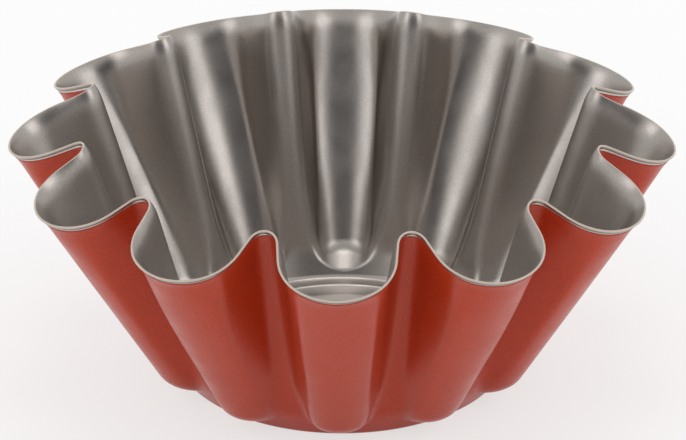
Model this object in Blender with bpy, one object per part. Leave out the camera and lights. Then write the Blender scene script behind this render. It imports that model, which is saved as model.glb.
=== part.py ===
"""Fluted pudding mould: one drawn steel sheet with a non-stick lining and a red outer coat.

The outer face of the bare sheet is worked out first, as rings of points from the base to
the rim. Each piece is then lofted between faces that lie a set distance from that one.
"""

from math import acos, atan2, cos, pi, radians, sin, sqrt

import bmesh
import bpy
import numpy as np

# Rim, at the trimmed edge. The edge dips at each flute, so that it runs in scallops.
FLUTES = 12
RIM_RADIUS = 0.110
RIM_FLUTE_DEPTH = 0.0233
RIM_FOLD_RADIUS = 0.0045
HEIGHT = 0.089
SCALLOP_DROP = 0.011

# Lip: the strip under the edge that flares out a little more than the wall
LIP_HEIGHT = 0.0032
LIP_FLARE = 0.0012

# Base: a standing ring round a raised panel, and a corner up to where the flutes start
BASE_RADIUS = 0.0563
BASE_HEIGHT = 0.0026
CORNER_RADIUS = 0.0031
STANDING_RING_WIDTH = 0.0030
PANEL_RISE = 0.0008
PANEL_SLOPE_WIDTH = 0.0012

# Toe and shoulder: the end of each flute's sloping end, and where the straight wall starts
TOE_RISE = 0.00285
TOE_FLUTE_DEPTH = 0.0051
TOE_FLUTE_RADIUS = 0.0081
TOE_FOLD_RADIUS = 0.0020
SHOULDER_RISE = 0.00405
SHOULDER_FLUTE_DEPTH = 0.0078
SHOULDER_FLUTE_RADIUS = 0.0100
SHOULDER_FOLD_RADIUS = 0.0042
SHOULDER_VALLEY_FLARE = 0.0038

# Sheet and coats. A hair of air is left at each face that is bonded on the real mould.
SHEET = 0.0005
COAT = 0.00008
BOND_GAP = 0.00002
COAT_JOINT = 0.00015

# Facets
FLUTE_FACETS = 5
FOLD_FACETS = 3
BASE_THINNING = 4
SHARP_ANGLE = radians(40)

HALF_PITCH = pi / FLUTES
OUTSIDE = BOND_GAP + COAT
INSIDE = SHEET + BOND_GAP + COAT


def arc(centre, radius, start, end, facets):
    """Points on an arc in plan, both ends included."""
    angles = np.linspace(start, end, facets + 1)
    return np.c_[centre[0] + radius * np.cos(angles), centre[1] + radius * np.sin(angles)]


def spread(line, facets):
    """The same line with its points at equal distances."""
    places = np.r_[0, np.cumsum(np.linalg.norm(np.diff(line, axis=0), axis=1))]
    even = np.linspace(0, places[-1], facets + 1)
    return np.c_[np.interp(even, places, line[:, 0]), np.interp(even, places, line[:, 1])]


def touching_flute_radius(reach, fold_tip, fold_radius):
    """Radius of the flutes whose sides run straight on into the fold between them."""
    fold_centre = fold_tip + fold_radius
    inward = fold_centre * cos(HALF_PITCH)
    spare = reach**2 + fold_centre**2 - 2 * reach * inward - fold_radius**2
    return spare / (2 * (reach + fold_radius - inward))


def half_flute(reach, flute_radius, fold_radius, valley_radius):
    """Plan of half a flute, from its outermost point to the middle of the next fold.

    The flute is an arc that bulges out, and the fold an arc that turns back. Where the
    folds of two flutes don't meet, a valley about the mould's axis lies between them.
    """
    flute_centre = reach - flute_radius
    apart = flute_radius + fold_radius
    fold_distance = valley_radius + fold_radius
    share = (fold_distance**2 + flute_centre**2 - apart**2) / (2 * fold_distance * flute_centre)
    fold_angle = acos(min(share, 1))
    if fold_angle > HALF_PITCH:
        fold_angle = HALF_PITCH
        across = flute_centre * sin(HALF_PITCH)
        fold_distance = flute_centre * cos(HALF_PITCH) + sqrt(apart**2 - across**2)
    fold_centre = fold_distance * cos(fold_angle), fold_distance * sin(fold_angle)
    touch = atan2(fold_centre[1], fold_centre[0] - flute_centre)
    flute = arc((flute_centre, 0), flute_radius, 0, touch, FLUTE_FACETS)
    fold = arc(fold_centre, fold_radius, touch + pi, fold_angle + pi, 24)
    valley = arc((0, 0), fold_distance - fold_radius, fold_angle, HALF_PITCH, 8)
    return np.vstack([flute, spread(np.vstack([fold, valley[1:]]), FOLD_FACETS)[1:]])


def flute_ring(height, reach, flute_radius, fold_radius, valley_radius):
    """A level ring: half a flute, mirrored and repeated about the axis."""
    half = half_flute(reach, flute_radius, fold_radius, valley_radius)
    flute = np.vstack([half[:0:-1] * [1, -1], half[:-1]])
    turns = [2 * HALF_PITCH * k for k in range(FLUTES)]
    plan = np.vstack([flute @ [[cos(a), sin(a)], [-sin(a), cos(a)]] for a in turns])
    return np.c_[plan, np.full(len(plan), height)]


def circle_ring(like, radius, height):
    """A level circle whose points stand at the same angles as those of another ring."""
    distance = np.hypot(like[:, 0], like[:, 1])
    return np.c_[like[:, :2] * (radius / distance)[:, None], np.full(len(like), height)]


def flared(ring, by):
    """A ring moved outwards in plan by a set distance."""
    along = np.roll(ring, -1, axis=0) - np.roll(ring, 1, axis=0)
    outward = np.c_[along[:, 1], -along[:, 0], np.zeros(len(ring))]
    return ring + by * outward / np.linalg.norm(outward, axis=1)[:, None]


def base_rings(like):
    """Outer face of the base: panel edge, standing ring, corner and the flutes' start."""
    ring_outer = BASE_RADIUS - CORNER_RADIUS
    ring_inner = ring_outer - STANDING_RING_WIDTH
    turn = radians(45)
    profile = [
        (ring_inner - PANEL_SLOPE_WIDTH, OUTSIDE + PANEL_RISE),
        (ring_inner, OUTSIDE),
        (ring_outer, OUTSIDE),
        (ring_outer + CORNER_RADIUS * sin(turn), OUTSIDE + CORNER_RADIUS * (1 - cos(turn))),
        (BASE_RADIUS, BASE_HEIGHT),
    ]
    return [circle_ring(like, radius, height) for radius, height in profile]


def wall_rings():
    """Outer face of the fluted wall: toe, shoulder, the crease under the lip, and the rim."""
    toe_height = BASE_HEIGHT + TOE_RISE
    shoulder_height = toe_height + SHOULDER_RISE
    shoulder_valley = BASE_RADIUS + SHOULDER_VALLEY_FLARE
    toe_valley = BASE_RADIUS + SHOULDER_VALLEY_FLARE * TOE_RISE / (TOE_RISE + SHOULDER_RISE)
    toe_reach = toe_valley + TOE_FLUTE_DEPTH
    toe = flute_ring(toe_height, toe_reach, TOE_FLUTE_RADIUS, TOE_FOLD_RADIUS, toe_valley)
    shoulder = flute_ring(
        shoulder_height,
        shoulder_valley + SHOULDER_FLUTE_DEPTH,
        SHOULDER_FLUTE_RADIUS,
        SHOULDER_FOLD_RADIUS,
        shoulder_valley,
    )
    reach = RIM_RADIUS - LIP_FLARE
    fold_tip = reach - RIM_FLUTE_DEPTH
    fold_radius = RIM_FOLD_RADIUS + LIP_FLARE
    flute_radius = touching_flute_radius(reach, fold_tip, fold_radius)
    top = flute_ring(HEIGHT - OUTSIDE, reach, flute_radius, fold_radius, fold_tip)
    distance = np.hypot(top[:, 0], top[:, 1])
    top[:, 2] -= SCALLOP_DROP * (distance - fold_tip) / RIM_FLUTE_DEPTH
    crease = top + (shoulder - top) * LIP_HEIGHT / (HEIGHT - shoulder_height)
    return [toe, shoulder, crease, flared(top, LIP_FLARE)]


def unit(vectors):
    return vectors / np.linalg.norm(vectors, axis=1)[:, None]


def directions(rings):
    """For each point of each ring, the mitred way out of the surface and the way up it.

    A point that moves by a distance along its mitre moves both strips of surface that meet
    at its ring by just that distance, so a flat strip stays flat.
    """
    outward, upward = [], []
    for k, ring in enumerate(rings):
        around = np.roll(ring, -1, axis=0) - np.roll(ring, 1, axis=0)
        below = ring - (rings[k - 1] if k else ring * [0, 0, 1])
        above = rings[k + 1] - ring if k + 1 < len(rings) else below
        under, over = unit(np.cross(around, below)), unit(np.cross(around, above))
        outward.append((under + over) / (1 + np.sum(under * over, axis=1))[:, None])
        upward.append(unit(below + above))
    return outward, upward


def paint(name, colour, roughness, metallic):
    material = bpy.data.materials.new(name)
    material.use_nodes = True
    material.diffuse_color = (*colour, 1)
    shader = material.node_tree.nodes["Principled BSDF"]
    shader.inputs["Base Color"].default_value = (*colour, 1)
    shader.inputs["Roughness"].default_value = roughness
    shader.inputs["Metallic"].default_value = metallic
    return material


def stitch(shape, first, second):
    """Triangles between two rows of points. The finer row may have several points for each
    point of the other, and each half of a flute mirrors the other half."""
    first, second = sorted([first, second], key=lambda row: (len(row), row[0].co.z))
    times = len(second) // len(first)
    per_flute = len(first) // FLUTES
    for i, corner in enumerate(first):
        following = first[(i + 1) % len(first)]
        fan = [second[(i * times + j) % len(second)] for j in range(times + 1)]
        rising = i % per_flute < per_flute / 2
        middle = times // 2 if rising else (times + 1) // 2
        for j in range(times):
            tip = corner if j < middle else following
            shape.faces.new([tip, fan[j], fan[j + 1]])
        shape.faces.new([corner, fan[middle], following])


def loft(name, rings, material):
    """A closed body through a row of rings, with a flat face in the first and the last."""
    shape = bmesh.new()
    rows = [[shape.verts.new(point) for point in ring] for ring in rings]
    for row, following in zip(rows, rows[1:]):
        stitch(shape, row, following)
    shape.faces.new(rows[0])
    shape.faces.new(rows[-1])
    bmesh.ops.recalc_face_normals(shape, faces=shape.faces)
    mesh = bpy.data.meshes.new(name)
    shape.to_mesh(mesh)
    shape.free()
    mesh.materials.append(material)
    mesh.shade_smooth()
    mesh.set_sharp_from_angle(angle=SHARP_ANGLE)
    bpy.context.collection.objects.link(bpy.data.objects.new(name, mesh))


def build():
    for old in list(bpy.data.objects):
        bpy.data.objects.remove(old)

    wall = wall_rings()
    base = base_rings(wall[0])
    rings = base + wall
    outward, upward = directions(rings)
    plain = len(base) - 1
    rim = len(rings) - 1
    crease = rim - 1

    def ring(k, out, up=0):
        """Ring k of the sheet's outer face, moved out of the surface and up along it."""
        moved = rings[k] + out * outward[k] + up * upward[k]
        return moved[::BASE_THINNING] if k < plain else moved

    def face(out, last=rim):
        """The rings of a face that lies at a set distance out of the sheet's outer face."""
        return [ring(k, out) for k in range(last + 1)]

    steel = face(0) + face(-SHEET)[::-1]
    loft("steel_shell", steel, paint("bare_steel", (0.60, 0.57, 0.52), 0.35, 1.0))

    # The lining covers the inside, turns over the trimmed edge and ends under the lip.
    shown = face(-INSIDE, crease) + [
        ring(rim, -INSIDE, OUTSIDE),
        ring(rim, OUTSIDE, OUTSIDE),
        ring(crease, OUTSIDE),
    ]
    hidden = face(-SHEET - BOND_GAP, crease) + [
        ring(rim, -SHEET - BOND_GAP, BOND_GAP),
        ring(rim, BOND_GAP, BOND_GAP),
        ring(crease, BOND_GAP),
    ]
    grey = paint("grey_nonstick", (0.19, 0.18, 0.17), 0.42, 0.5)
    loft("nonstick_lining", shown + hidden[::-1], grey)

    # The red coat takes over there and covers the walls and the underside.
    shown = face(OUTSIDE, crease - 1) + [ring(crease, OUTSIDE, -COAT_JOINT)]
    hidden = face(BOND_GAP, crease - 1) + [ring(crease, BOND_GAP, -COAT_JOINT)]
    red = paint("red_lacquer", (0.50, 0.055, 0.022), 0.40, 0.4)
    loft("red_outer_coat", shown + hidden[::-1], red)


build()
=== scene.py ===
"""A fluted pudding mould of pressed steel, grey inside and red outside, in a white studio."""

from math import acos, asin, atan2, cos, hypot, pi, radians, sin, sqrt, tan

import bmesh
import bpy
import numpy as np
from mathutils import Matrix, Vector


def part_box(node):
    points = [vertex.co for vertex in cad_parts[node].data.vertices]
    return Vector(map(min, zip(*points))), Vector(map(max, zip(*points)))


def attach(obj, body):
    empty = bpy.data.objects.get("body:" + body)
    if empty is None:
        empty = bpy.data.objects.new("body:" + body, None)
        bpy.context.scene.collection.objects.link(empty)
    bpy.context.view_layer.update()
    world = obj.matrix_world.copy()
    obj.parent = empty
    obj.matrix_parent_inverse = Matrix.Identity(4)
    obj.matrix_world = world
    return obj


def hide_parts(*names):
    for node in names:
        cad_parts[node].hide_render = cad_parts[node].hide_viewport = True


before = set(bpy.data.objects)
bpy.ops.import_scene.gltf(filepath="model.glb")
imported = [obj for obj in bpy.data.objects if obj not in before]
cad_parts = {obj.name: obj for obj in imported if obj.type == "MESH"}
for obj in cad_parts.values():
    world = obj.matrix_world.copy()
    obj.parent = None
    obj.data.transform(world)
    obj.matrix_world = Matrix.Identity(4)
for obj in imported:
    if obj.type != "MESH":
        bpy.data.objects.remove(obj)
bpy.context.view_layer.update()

# The pressed sheet
# One disc of steel half a millimetre thick, drawn into twelve flutes with narrow folds
# between them, then trimmed at the rim. Both of its faces are coated, and every coat
# follows its outer face, so that face is worked out here as rings from floor to rim.
sheet_thickness = 0.0005
flutes = 12
half_pitch = pi / flutes

shell_low, shell_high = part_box("steel_shell")
rim_reach = shell_high.x
rim_height = 0.0889
scallop_drop = 0.011
rim_flute_depth = 0.0233
lip_height = 0.0090
lip_flare = 0.0012
band_height = 0.0013

# The floor, from the outside in: standing ring, raised panel, bead and sunken middle.
# Pairs are a distance out and a height above the underside.
underside = shell_low.z
corner_radius = 0.0030
ring_outer = 0.0532
ring_inner = 0.0502
ring_start = (0, 0.00006), (0.0006, 0), (0.0018, 0)
panel_edge = 0.0492
panel_slope = (-0.0002, 0.00076), (0.0002, 0.00060), (0.0006, 0.00030)
panel_height = underside + 0.0008
bead = 0.0480
bead_width = 0.0009
bead_rise = 0.00032
bead_points = -0.6, -0.25, 0.1, 0.5, 1
middle_edge = 0.0402
middle_ease = 0.0010
middle_slope = 0.0020
middle_drop = 0.0007
centre_radius = 0.012

# The flutes' sloping ends and the valleys between them, from the step over the base's
# corner up to the straight wall. The tip's face and bends have radii that are shares of
# its width.
step_height = 0.0026
step_radius = 0.0563
step_rounding = 0.0022
toe_slope = radians(23)
end_radius = 0.00945
tip_width = 0.0065
tip_face = 1.05
tip_bend = 0.95
valley_crease = 0.0603, 0.0095
valley_rounding = 0.0200

# The wall, at shares of the way from its start up to the edge
wall_start = 0.0150
wall_reach = 0.0712
wall_valley = 0.0620
wall_shares = 0, 0.25, 0.45, 0.65, 0.83, 1
wall_widths = 0.0105, 0.0111, 0.01185, 0.01275, 0.0146, 0.0176
face_radii = 0.0120, 0.0170, 0.0220, 0.0240, 0.0228, 0.0200
bend_radii = 0.0080, 0.0050, 0.0040, 0.0045, 0.0085, 0.0150
fold_radii = 0.0058, 0.00575, 0.0057, 0.0057, 0.0057, 0.0057
fold_closes = 0.15
valley_slack = 0.00001
low_fold_levels = step_height, 0.0050, 0.0080, 0.0105, wall_start
low_fold_radii = 0.0012, 0.0018, 0.0028, 0.0040, fold_radii[0]

# Facets of half a flute, how much closer its points stand where it turns, in metres a
# radian, and the facets of the lines that they are picked from
face_facets = 6
side_facets = 16
turn_spacing = 0.004
bend_facets = 40
fold_facets = 60
flat_facets = 20
fine_facets = 400
rounding_facets = 10
corner_facets = 6
same_point = 1e-7

# Levels at which the spacing of the rings changes, and the rings up to each
step_top = 0.0034
step_rings = 9
even_height = 0.0060
low_rings = 13
toe_top = 0.0112
toe_rings = 14
ring_gap = 0.0007
start_rings = 4
wall_rings = 7
lip_rings = 8
band_rings = 4


def rounded(corners):
    """A line up through corners (distance from the axis, height, radius of rounding)."""
    line = [corners[0][:2]]
    for (x0, z0, _), (x, z, radius), (x1, z1, _) in zip(corners, corners[1:], corners[2:]):
        back = Vector((x0 - x, z0 - z)).normalized()
        ahead = Vector((x1 - x, z1 - z)).normalized()
        half = back.angle(ahead) / 2
        centre = Vector((x, z)) + (back + ahead).normalized() * radius / sin(half)
        start = Vector((x, z)) + back * radius / tan(half) - centre
        end = Vector((x, z)) + ahead * radius / tan(half) - centre
        turn = pi - 2 * half
        for step in np.linspace(0, 1, rounding_facets + 1):
            spoke = (start * sin((1 - step) * turn) + end * sin(step * turn)) / sin(turn)
            line.append(tuple(centre + spoke))
    line.append(corners[-1][:2])
    return np.array(line)


def arc(centre, radius, start, end, facets):
    """Points on an arc in plan, both ends included."""
    angles = np.linspace(start, end, facets + 1)
    return np.c_[centre[0] + radius * np.cos(angles), centre[1] + radius * np.sin(angles)]


def spread(line, facets, for_a_turn=0):
    """The same line with its points at equal distances, or closer where it turns."""
    kept = np.linalg.norm(np.diff(line, axis=0), axis=1) > same_point
    line = line[np.r_[True, kept]]
    steps = np.diff(line, axis=0)
    ways = np.unwrap(np.arctan2(steps[:, 1], steps[:, 0]))
    turns = np.abs(np.gradient(ways)) * for_a_turn
    places = np.r_[0, np.cumsum(np.linalg.norm(steps, axis=1) + turns)]
    even = np.linspace(0, places[-1], facets + 1)
    return np.c_[np.interp(even, places, line[:, 0]), np.interp(even, places, line[:, 1])]


def half_flute(reach, width, face_radius, bend_radius, fold_radius, valley, fold_angle=None):
    """Plan of half a flute: its face, the bend at the face's side, a flat flank, the fold
    that turns back and what there is of a valley beside the fold. The width is half of the
    flute's width at the bends. Without a fold angle the fold follows straight on the bend."""
    lean = asin((width - bend_radius) / (face_radius - bend_radius))
    face_centre = reach - face_radius
    bend_centre = (
        face_centre + (face_radius - bend_radius) * cos(lean),
        (face_radius - bend_radius) * sin(lean),
    )
    bend_distance = hypot(*bend_centre)
    bend_angle = atan2(bend_centre[1], bend_centre[0])
    together = bend_radius + fold_radius
    fold_distance = valley + fold_radius
    if fold_angle is None:
        corner = fold_distance**2 + bend_distance**2 - together**2
        corner /= 2 * fold_distance * bend_distance
        fold_angle = bend_angle + acos(min(corner, 1))
    if fold_angle > half_pitch:
        fold_angle = half_pitch
        along = bend_distance * cos(half_pitch - bend_angle)
        across = bend_distance * sin(half_pitch - bend_angle)
        fold_distance = along + sqrt(together**2 - across**2)
    fold_centre = fold_distance * cos(fold_angle), fold_distance * sin(fold_angle)
    along = fold_centre[0] - bend_centre[0]
    across = fold_centre[1] - bend_centre[1]
    touch = atan2(across, along) - acos(min(together / hypot(along, across), 1))
    face = arc((face_centre, 0), face_radius, 0, lean, face_facets)
    bend = arc(bend_centre, bend_radius, lean, touch, bend_facets)
    fold = arc(fold_centre, fold_radius, touch + pi, fold_angle + pi, fold_facets)
    flat = arc((0, 0), fold_distance - fold_radius, fold_angle, half_pitch, flat_facets)
    side = spread(np.vstack([bend, fold, flat[1:]]), side_facets, turn_spacing)
    return np.vstack([face, side[1:]])


def all_round(half, height):
    """A whole ring from half a flute: mirrored, then turned round the axis."""
    flute = np.vstack([half[:0:-1] * [1, -1], half[:-1]])
    turns = [2 * half_pitch * k for k in range(flutes)]
    plan = np.vstack([flute @ [[cos(a), sin(a)], [-sin(a), cos(a)]] for a in turns])
    return np.c_[plan, np.full(len(plan), height)]


def circle_like(ring, radius, height):
    """A circle with its points at the same angles as those of a ring."""
    distance = np.hypot(ring[:, 0], ring[:, 1])
    return np.c_[ring[:, :2] * (radius / distance)[:, None], np.full(len(ring), height)]


valley_lean = atan2(valley_crease[0] - step_radius, valley_crease[1] - step_height)
corner_end = (
    ring_outer + corner_radius * cos(valley_lean),
    underside + corner_radius * (1 - sin(valley_lean)),
)
straight_reach = rim_reach - lip_flare
wall_lean = (straight_reach - wall_reach) / (rim_height - scallop_drop - wall_start)
rise_from_axis = wall_start - step_height + step_radius * tan(toe_slope)
toe_x = (wall_reach - wall_lean * rise_from_axis) / (1 - wall_lean * tan(toe_slope))
toe_z = step_height + (toe_x - step_radius) * tan(toe_slope)
flute_line = rounded([
    (*corner_end, 0),
    (step_radius, step_height, step_rounding),
    (toe_x, toe_z, end_radius),
    (wall_reach, wall_start, 0),
])
valley_line = rounded([
    (*corner_end, 0),
    (*valley_crease, valley_rounding),
    (wall_valley, wall_start, 0),
])


def section(height):
    """Half a flute at a level between the base and the straight wall."""
    valley = np.interp(height, valley_line[:, 1], valley_line[:, 0])
    reach = max(np.interp(height, flute_line[:, 1], flute_line[:, 0]), valley)
    grown = np.interp(height, [step_height, wall_start], [0, 1])
    width = tip_width + (wall_widths[0] - tip_width) * sin(grown * pi / 2)
    face_radius = width * (tip_face + (face_radii[0] / wall_widths[0] - tip_face) * grown)
    bend_radius = width * (tip_bend + (bend_radii[0] / wall_widths[0] - tip_bend) * grown)
    fold_radius = np.interp(height, low_fold_levels, low_fold_radii)
    return half_flute(reach, width, face_radius, bend_radius, fold_radius, valley)


# Every ring below this one has its points at the same angles, so that none is skewed
even = section(even_height)
even_angles = np.arctan2(even[:, 1], even[:, 0])


def low_section(height):
    """A section low on the flute's end, with its points at the angles of the even one."""
    fine = spread(section(height), fine_facets)
    distance = np.interp(even_angles, np.arctan2(fine[:, 1], fine[:, 0]), np.hypot(*fine.T))
    return np.c_[distance * np.cos(even_angles), distance * np.sin(even_angles)]


even_ring = all_round(even, even_height)
base_profile = [
    (centre_radius, panel_height - middle_drop),
    (middle_edge - middle_slope - middle_ease, panel_height - middle_drop),
    (middle_edge - middle_slope, panel_height - middle_drop * 0.9),
    (middle_edge, panel_height - middle_drop * 0.1),
    (middle_edge + middle_ease, panel_height),
    (bead - bead_width, panel_height),
]
base_profile += [
    (bead + bead_width * x, panel_height + bead_rise * cos(x * pi / 2) ** 2)
    for x in bead_points
]
base_profile += [(panel_edge + x, underside + z) for x, z in panel_slope]
base_profile += [(ring_inner + x, underside + z) for x, z in ring_start]
base_profile += [
    (ring_outer + corner_radius * sin(a), underside + corner_radius * (1 - cos(a)))
    for a in np.linspace(0, pi / 2 - valley_lean, corner_facets + 1)
]
outer_face = [circle_like(even_ring, x, z) for x, z in base_profile]
low_levels = np.r_[
    np.linspace(corner_end[1], step_top, step_rings + 1)[1:],
    np.linspace(step_top, even_height, low_rings + 1)[1:-1],
]
outer_face += [all_round(low_section(z), z) for z in low_levels]
high_levels = np.r_[
    np.linspace(even_height, toe_top, toe_rings + 1),
    np.linspace(toe_top + ring_gap, wall_start, start_rings + 1),
]
outer_face += [all_round(section(z), z) for z in high_levels]

foot = section(wall_start)
beside_valley = np.hypot(foot[:, 0], foot[:, 1]) > wall_valley + valley_slack
fold_foot = foot[np.argmin(beside_valley)]
first_fold = atan2(fold_foot[1], fold_foot[0])
fold_tip = straight_reach - rim_flute_depth


def smooth(share, values):
    """A value between those at the wall's shares, without kinks in between."""
    slopes = np.gradient(values, wall_shares)
    k = min(int(np.searchsorted(wall_shares, share, side="right")) - 1, len(wall_shares) - 2)
    step = wall_shares[k + 1] - wall_shares[k]
    t = (share - wall_shares[k]) / step
    return (
        values[k] * (1 + 2 * t) * (1 - t) ** 2
        + values[k + 1] * t**2 * (3 - 2 * t)
        + slopes[k] * step * t * (1 - t) ** 2
        - slopes[k + 1] * step * t**2 * (1 - t)
    )


def wall_ring(share):
    """The wall's ring at a share of the way from its start up to the scalloped edge."""
    half = half_flute(
        wall_reach + (straight_reach - wall_reach) * share,
        smooth(share, wall_widths),
        smooth(share, face_radii),
        smooth(share, bend_radii),
        smooth(share, fold_radii),
        wall_valley + (fold_tip - wall_valley) * share,
        np.interp(share, [0, fold_closes], [first_fold, half_pitch]),
    )
    return all_round(half, wall_start)


top = wall_ring(1)
dip = scallop_drop * (np.hypot(top[:, 0], top[:, 1]) - fold_tip) / rim_flute_depth
edge_height = rim_height - wall_start - dip
along = np.roll(top, -1, axis=0) - np.roll(top, 1, axis=0)
outward = np.c_[along[:, 1], -along[:, 0], np.zeros(len(top))]
outward /= np.linalg.norm(outward, axis=1)[:, None]
slant = (rim_height - wall_start) / cos(wall_lean)
wall_steps = np.linspace(slant, lip_height, wall_rings + 1)[1:-1]
lip_steps = np.linspace(lip_height, band_height, lip_rings + 1)
band_steps = np.linspace(band_height, 0, band_rings + 1)
for drop in np.r_[wall_steps, lip_steps, band_steps[1:]]:
    share = 1 - drop / slant
    flare = lip_flare * max(1 - drop / lip_height, 0) ** 3
    ring = wall_ring(share) + outward * flare
    ring[:, 2] += edge_height * share
    outer_face.append(ring)
outer_face = np.array(outer_face)
crease = len(outer_face) - len(band_steps)

# The way out of the sheet at every point, and each point's distance down from the edge
around = np.roll(outer_face, -1, axis=1) - np.roll(outer_face, 1, axis=1)
upwards = np.gradient(outer_face, axis=0)
out_of_sheet = np.cross(around, upwards)
out_of_sheet /= np.linalg.norm(out_of_sheet, axis=2)[..., None]
up_sheet = upwards[-1] / np.linalg.norm(upwards[-1], axis=1)[:, None]
at_edge = np.zeros(len(top))
ring_steps = np.linalg.norm(np.diff(outer_face, axis=0), axis=2)
edge_distance = np.vstack([ring_steps[::-1].cumsum(axis=0)[::-1], at_edge])


def face(out, rows=slice(None)):
    """The rings of a face at a set distance out of the sheet's outer face."""
    return list(outer_face[rows] + out * out_of_sheet[rows])


def edge(out, up):
    """A ring round the trimmed edge, moved out of the sheet and up along it."""
    return outer_face[-1] + out * out_of_sheet[-1] + up * up_sheet


def loft(name, rings, distances, material):
    """A closed skin through rings, the first and last of which are filled flat. Each point
    keeps its distance down from the edge for the materials."""
    shape = bmesh.new()
    rows = [[shape.verts.new(point) for point in ring] for ring in rings]
    count = len(rows[0])
    for low, high in zip(rows, rows[1:]):
        for i in range(count):
            j = (i + 1) % count
            shape.faces.new([low[i], low[j], high[j], high[i]])
    shape.faces.new(rows[0][::-1])
    shape.faces.new(rows[-1])
    bmesh.ops.recalc_face_normals(shape, faces=shape.faces)
    mesh = bpy.data.meshes.new(name)
    shape.to_mesh(mesh)
    shape.free()
    mesh.attributes.new("edge_distance", "FLOAT", "POINT")
    mesh.attributes["edge_distance"].data.foreach_set("value", np.ravel(distances))
    mesh.shade_smooth()
    mesh.materials.append(material)
    piece = bpy.data.objects.new(name, mesh)
    bpy.context.collection.objects.link(piece)
    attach(piece, "root")
    return piece


def feed(tree, value, socket):
    """Give a socket a plain value, or link it where the value comes from another node."""
    if isinstance(value, bpy.types.NodeSocket):
        tree.links.new(value, socket)
    else:
        socket.default_value = value


def calculate(tree, operation, *values):
    """The result of an operation on plain values or links."""
    node = tree.nodes.new("ShaderNodeMath")
    node.operation = operation
    for value, socket in zip(values, node.inputs):
        feed(tree, value, socket)
    return node.outputs[0]


def grain(tree, cell):
    """Fine noise fixed to the piece, with cells of a given size in metres."""
    place = tree.nodes.new("ShaderNodeTexCoord")
    noise = tree.nodes.new("ShaderNodeTexNoise")
    noise.inputs["Scale"].default_value = 1 / cell
    noise.inputs["Detail"].default_value = 2.0
    tree.links.new(place.outputs["Object"], noise.inputs["Vector"])
    return noise.outputs["Fac"]


def ramp(tree, value, start, end, low, high):
    """A smooth step from low to high as the value goes from start to end."""
    step = tree.nodes.new("ShaderNodeMapRange")
    step.interpolation_type = "SMOOTHSTEP"
    step.inputs["From Min"].default_value = start
    step.inputs["From Max"].default_value = end
    step.inputs["To Min"].default_value = low
    step.inputs["To Max"].default_value = high
    tree.links.new(value, step.inputs["Value"])
    return step.outputs["Result"]


def spots(tree, noise, low, high):
    """A value that goes from low to high and back with a noise."""
    return ramp(tree, noise, 0.3, 0.7, low, high)


def blend(tree, share, first, second):
    """A colour from the first to the second by the share. Each is a plain colour or a link."""
    mix = tree.nodes.new("ShaderNodeMix")
    mix.data_type = "RGBA"
    tree.links.new(share, mix.inputs["Factor"])
    for colour, socket in ((first, mix.inputs[6]), (second, mix.inputs[7])):
        feed(tree, (*colour, 1) if isinstance(colour, tuple) else colour, socket)
    return mix.outputs[2]


def dimples(tree, heights):
    """A bumped normal from pairs of a noise and how deep it goes in metres."""
    normal = None
    for height, depth in heights:
        bump = tree.nodes.new("ShaderNodeBump")
        bump.inputs["Distance"].default_value = depth
        tree.links.new(height, bump.inputs["Height"])
        if normal:
            tree.links.new(normal, bump.inputs["Normal"])
        normal = bump.outputs["Normal"]
    return normal


bare_steel = bpy.data.materials.new("bare_steel")
bare_steel.use_nodes = True
tree = bare_steel.node_tree
steel_shader = tree.nodes["Principled BSDF"]
steel_shader.inputs["Metallic"].default_value = 1
rolled = grain(tree, 0.0004)
steel = blend(tree, rolled, (0.56, 0.53, 0.49), (0.68, 0.65, 0.60))
tree.links.new(steel, steel_shader.inputs["Base Color"])
tree.links.new(spots(tree, rolled, 0.28, 0.42), steel_shader.inputs["Roughness"])

pressed_sheet = loft(
    "pressed_sheet",
    face(0) + face(-sheet_thickness)[::-1],
    np.vstack([edge_distance, edge_distance[::-1]]),
    bare_steel,
)
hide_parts("steel_shell")

# The grey lining
# A baked non-stick coat, sprayed on after pressing, with a fine metallic grain. It covers
# the inside, runs thin over the trimmed edge and ends in a band on the outside of the lip.
coat = 0.00008
bond_gap = 0.00002
outside = bond_gap + coat
inside = sheet_thickness + bond_gap + coat
bonded_inside = sheet_thickness + bond_gap
edge_rounding = 0.00020


def below_edge(tree):
    """Distance down from the trimmed edge, below nought on the outside of the lining."""
    distance = tree.nodes.new("ShaderNodeAttribute")
    distance.attribute_name = "edge_distance"
    return distance.outputs["Fac"]


grey_nonstick = bpy.data.materials.new("grey_nonstick")
grey_nonstick.use_nodes = True
tree = grey_nonstick.node_tree
grey_shader = tree.nodes["Principled BSDF"]
fine = grain(tree, 0.00045)
cloudy = grain(tree, 0.012)
# A pale cream, unmetallic line along the trimmed edge, fading into the grey within about 0.16 mm
# of it
away_from_pale_edge = ramp(tree, calculate(tree, "ABSOLUTE", below_edge(tree)), 0.00002, 0.00016, 0, 1)
outside_band = ramp(tree, below_edge(tree), -0.0002, -0.0006, 0, 1)
sprayed = blend(tree, spots(tree, fine, 0, 1), (0.415, 0.378, 0.353), (0.485, 0.445, 0.415))
thinned = blend(tree, outside_band, sprayed, (0.21, 0.19, 0.175))
grey = blend(tree, away_from_pale_edge, (0.58, 0.50, 0.42), thinned)
tree.links.new(grey, grey_shader.inputs["Base Color"])
tree.links.new(away_from_pale_edge, grey_shader.inputs["Metallic"])
tree.links.new(spots(tree, cloudy, 0.28, 0.35), grey_shader.inputs["Roughness"])
uneven = dimples(tree, [(cloudy, 0.00008), (fine, 0.000006)])
tree.links.new(uneven, grey_shader.inputs["Normal"])

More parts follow.
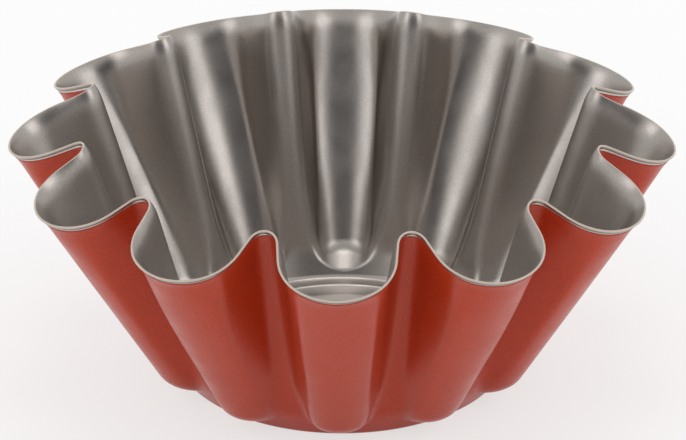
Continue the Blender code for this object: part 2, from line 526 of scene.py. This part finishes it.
band_rows = slice(crease, None)
rounding = [
    (edge_rounding * (1 - sin(a)), edge_rounding * (1 - cos(a)))
    for a in np.linspace(0, pi / 2, 4)
]
over_edge = [edge(-inside + back, outside - down) for back, down in rounding[::-1]]
over_edge += [edge(outside - back, outside - down) for back, down in rounding]
under_edge = [edge(-bonded_inside, bond_gap), edge(bond_gap, bond_gap)]
shown = face(-inside)[:-1] + over_edge + face(outside, band_rows)[::-1][1:]
hidden = face(-bonded_inside)[:-1] + under_edge + face(bond_gap, band_rows)[::-1][1:]
inside_distance = list(edge_distance[:-1])
band_distance = list(-edge_distance[band_rows][::-1][1:])
shown_distance = inside_distance + [at_edge] * len(over_edge) + band_distance
hidden_distance = inside_distance + [at_edge] * len(under_edge) + band_distance
nonstick_lining = loft(
    "grey_lining",
    shown + hidden[::-1],
    np.vstack(shown_distance + hidden_distance[::-1]),
    grey_nonstick,
)
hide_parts("nonstick_lining")

# The red outer coat
# A heat-proof lacquer with a fine grain, on the outside of the walls, the base's corner and
# the underside. It starts under the lip, where the grey spray fades out over it.
red_lacquer = bpy.data.materials.new("red_lacquer")
red_lacquer.use_nodes = True
tree = red_lacquer.node_tree
red_shader = tree.nodes["Principled BSDF"]
red_shader.inputs["IOR"].default_value = 1.45
fine = grain(tree, 0.00050)
cloudy = grain(tree, 0.010)
spray_start = 0.0013
spray_end = 0.0021
drift = calculate(tree, "MULTIPLY_ADD", fine, 0.0006, below_edge(tree))
oversprayed = ramp(tree, drift, spray_start, spray_end, 1, 0)
lacquered = blend(tree, spots(tree, fine, 0, 1), (0.395, 0.031, 0.005), (0.515, 0.045, 0.008))
red = blend(tree, oversprayed, lacquered, (0.22, 0.19, 0.17))
tree.links.new(red, red_shader.inputs["Base Color"])
shiny_spray = ramp(tree, drift, spray_start, spray_end, 0.9, 0.15)
tree.links.new(shiny_spray, red_shader.inputs["Metallic"])
tree.links.new(spots(tree, cloudy, 0.28, 0.36), red_shader.inputs["Roughness"])
uneven = dimples(tree, [(cloudy, 0.00008), (fine, 0.000010)])
tree.links.new(uneven, red_shader.inputs["Normal"])

coat_rows = slice(0, crease)
shown = face(outside, coat_rows)
hidden = face(bond_gap, coat_rows)
red_coat = loft(
    "red_coat",
    shown + hidden[::-1],
    np.vstack([edge_distance[coat_rows], edge_distance[coat_rows][::-1]]),
    red_lacquer,
)
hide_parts("red_outer_coat")

# The table
# A wide sheet of white paper under the mould. It glows a little where it is seen, so that
# it looks white, and keeps the mould's shadow.


def in_view(tree):
    """One for what is seen, straight or in shiny and clear things, and nought for light."""
    path = tree.nodes.new("ShaderNodeLightPath")
    seen = calculate(tree, "MAXIMUM", path.outputs["Is Camera Ray"], path.outputs["Is Glossy Ray"])
    return calculate(tree, "MAXIMUM", seen, path.outputs["Is Transmission Ray"])


bpy.ops.mesh.primitive_plane_add(size=8, location=(0, 0, 0))
table = bpy.context.object
table.name = "white_table"
white_paper = bpy.data.materials.new("white_paper")
white_paper.use_nodes = True
tree = white_paper.node_tree
paper = tree.nodes["Principled BSDF"]
paper.inputs["Base Color"].default_value = (0.95, 0.95, 0.95, 1)
paper.inputs["Roughness"].default_value = 0.9
paper.inputs["Specular IOR Level"].default_value = 0.0
glow = tree.nodes.new("ShaderNodeEmission")
glow.inputs["Color"].default_value = (1, 1, 1, 1)
mix = tree.nodes.new("ShaderNodeMixShader")
tree.links.new(calculate(tree, "MULTIPLY", in_view(tree), 0.66), mix.inputs["Fac"])
tree.links.new(paper.outputs["BSDF"], mix.inputs[1])
tree.links.new(glow.outputs["Emission"], mix.inputs[2])
tree.links.new(mix.outputs["Shader"], tree.nodes["Material Output"].inputs["Surface"])
table.data.materials.append(white_paper)

# The studio
# A pale room, dark behind the camera and dimmer overhead, with a soft box on each side of
# the camera, one low behind the mould and one high behind it.
aimed_at = Vector((0, 0, 0.05))


def direction(azimuth, elevation):
    """A way out of the scene. The azimuth goes round to the right from the camera's side."""
    a, e = radians(azimuth), radians(elevation)
    return Vector((sin(a) * cos(e), -cos(a) * cos(e), sin(e)))


def soft_box(name, azimuth, elevation, distance, width, height, watts):
    """A rectangular lamp that faces the mould."""
    lamp = bpy.data.lights.new(name, "AREA")
    lamp.shape = "RECTANGLE"
    lamp.size = width
    lamp.size_y = height
    lamp.energy = watts
    stand = bpy.data.objects.new(name, lamp)
    way = direction(azimuth, elevation)
    stand.location = way * distance + aimed_at
    stand.rotation_euler = way.to_track_quat("Z", "Y").to_euler()
    stand.visible_camera = False
    bpy.context.collection.objects.link(stand)


world = bpy.data.worlds.new("studio")
bpy.context.scene.world = world
world.use_nodes = True
sky = world.node_tree
background = sky.nodes["Background"]
way = sky.nodes.new("ShaderNodeTexCoord")
axes = sky.nodes.new("ShaderNodeSeparateXYZ")
sky.links.new(way.outputs["Generated"], axes.inputs["Vector"])
level = sky.nodes.new("ShaderNodeVectorMath")
level.operation = "MULTIPLY"
level.inputs[1].default_value = (1, 1, 0)
sky.links.new(way.outputs["Generated"], level.inputs[0])
compass = sky.nodes.new("ShaderNodeVectorMath")
compass.operation = "NORMALIZE"
sky.links.new(level.outputs["Vector"], compass.inputs[0])
towards = sky.nodes.new("ShaderNodeVectorMath")
towards.operation = "DOT_PRODUCT"
towards.inputs[1].default_value = direction(7, 0)
sky.links.new(compass.outputs["Vector"], towards.inputs[0])
beside = ramp(sky, towards.outputs["Value"], cos(radians(44)), cos(radians(20)), 0, 1)
above = ramp(sky, axes.outputs["Z"], sin(radians(36)), sin(radians(54)), 1, 0)
below = ramp(sky, axes.outputs["Z"], sin(radians(11)), sin(radians(24)), 0.4, 1)
patch = calculate(sky, "MULTIPLY", calculate(sky, "MULTIPLY", beside, above), below)
dark = ramp(sky, patch, 0, 1, 0.78, 0.08)
overhead = ramp(sky, axes.outputs["Z"], sin(radians(55)), sin(radians(75)), 1.0, 0.70)
sky.links.new(calculate(sky, "MULTIPLY", dark, overhead), background.inputs["Color"])
strength = sky.nodes.new("ShaderNodeMapRange")
strength.inputs["To Min"].default_value = 1.20
strength.inputs["To Max"].default_value = 1.0
sky.links.new(in_view(sky), strength.inputs["Value"])
sky.links.new(strength.outputs["Result"], background.inputs["Strength"])

soft_box("left_box", -60, 38, 1.2, 0.60, 0.60, 1.15)
soft_box("right_box", 68, 36, 1.2, 0.65, 0.60, 1.35)
soft_box("back_box", 177, 14, 1.2, 0.60, 0.40, 0.45)
soft_box("top_box", 178, 72, 1.2, 0.40, 0.40, 1.2)

# The camera
# It stands 1.5 m off and about 27 degrees up, as the fit of the rim to the photo gives.
distance = 1.4966
elevation = radians(27.21)
swing = radians(0.86)
pivot_height = 0.040
aim_height = 0.0508
aim_side = 0.0004
lens = bpy.data.cameras.new("camera")
lens.sensor_width = 36
lens.lens = 235.6
camera = bpy.data.objects.new("camera", lens)
camera.location = (
    distance * cos(elevation) * sin(swing),
    -distance * cos(elevation) * cos(swing),
    pivot_height + distance * sin(elevation),
)
sight = Vector((aim_side, 0, aim_height)) - camera.location
camera.rotation_euler = sight.to_track_quat("-Z", "Y").to_euler()
bpy.context.collection.objects.link(camera)
bpy.context.scene.camera = camera
bpy.context.scene.view_settings.view_transform = "Standard"
